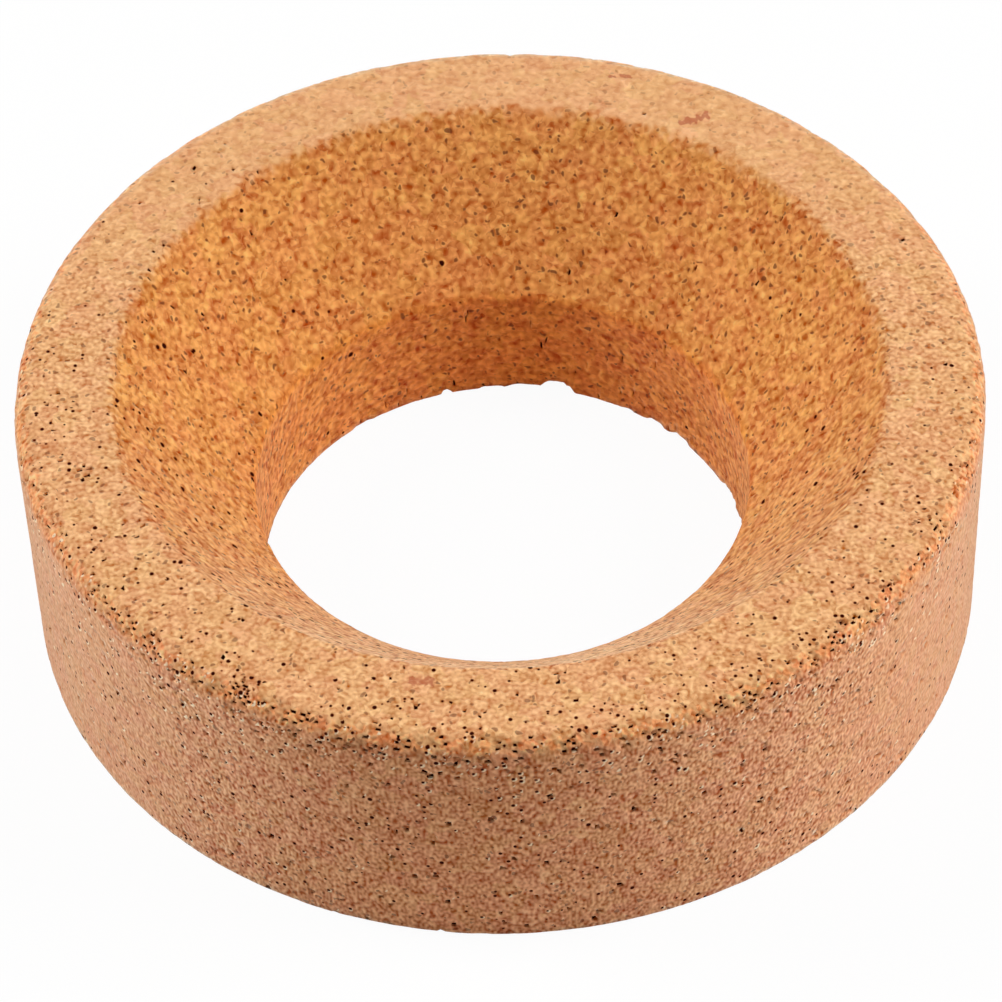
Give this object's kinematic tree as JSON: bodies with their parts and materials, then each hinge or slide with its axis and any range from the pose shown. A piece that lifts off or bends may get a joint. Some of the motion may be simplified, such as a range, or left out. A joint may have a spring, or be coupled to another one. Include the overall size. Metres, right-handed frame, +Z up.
{
  "type": "cork ring",
  "caption": "Thick one-piece ring of bonded cork granules with a rounded rim edge, a conical seat and a straight throat, which stands a round-bottomed flask upright.",
  "frame": {"origin": "centre of the flat base, on the surface that the ring stands on", "axes": "+Z up along the ring's axis, from the base to the rim and seat; the ring is the same all round it"},
  "size_m": [0.11, 0.11, 0.0325],
  "materials": {
    "cork": "bonded cork granules about 1 mm across, turned and left bare, dry and matt, pitted where granules have torn out"
  },
  "bodies": {
    "root": {"cork_ring": "cork"}
  },
  "joints": []
}
